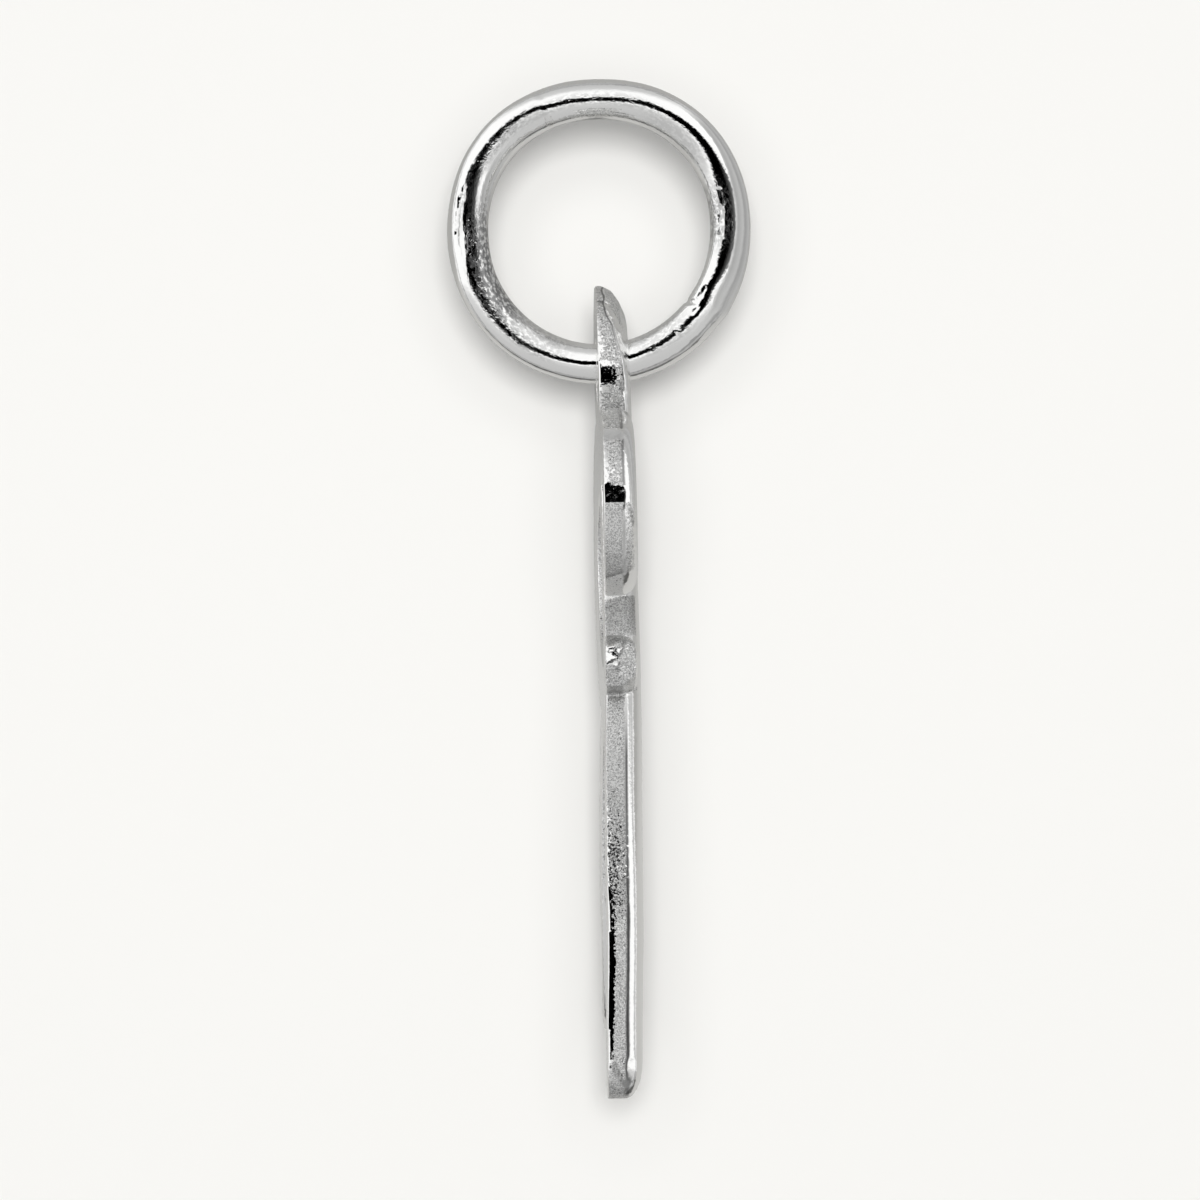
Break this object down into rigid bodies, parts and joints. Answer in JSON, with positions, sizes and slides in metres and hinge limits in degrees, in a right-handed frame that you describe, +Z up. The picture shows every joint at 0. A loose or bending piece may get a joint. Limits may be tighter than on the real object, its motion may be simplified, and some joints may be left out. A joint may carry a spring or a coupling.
{
  "type": "letter charm",
  "caption": "Polished white-metal letter charm: a flowing script R with a cast-on eye, hanging edge-on from a soldered round jump ring.",
  "frame": {"origin": "top of the jump ring's inside, where a chain or hook carries the charm", "axes": "+Z up along the hanging charm, +X the way the letter's polished front faces, +Y the reader's right; the ring lies in the XZ plane"},
  "size_m": [0.006, 0.0115, 0.0203],
  "materials": {
    "polished_wire": "rhodium-bright polished silver wire, with a faint solder joint",
    "polished_casting": "rhodium-bright polished front, back and shoulders, with upright sides left slightly grainy as cast"
  },
  "bodies": {
    "ring": {"jump_ring": "polished_wire"},
    "charm": {"letter": "polished_casting"}
  },
  "joints": [
    {"name": "letter_swing", "type": "hinge", "parent": "ring", "child": "charm", "pos_m": [0.00026, 0, -0.00513], "axis": [0.9999, 0, 0.0157], "range_deg": [-96, 116]}
  ]
}
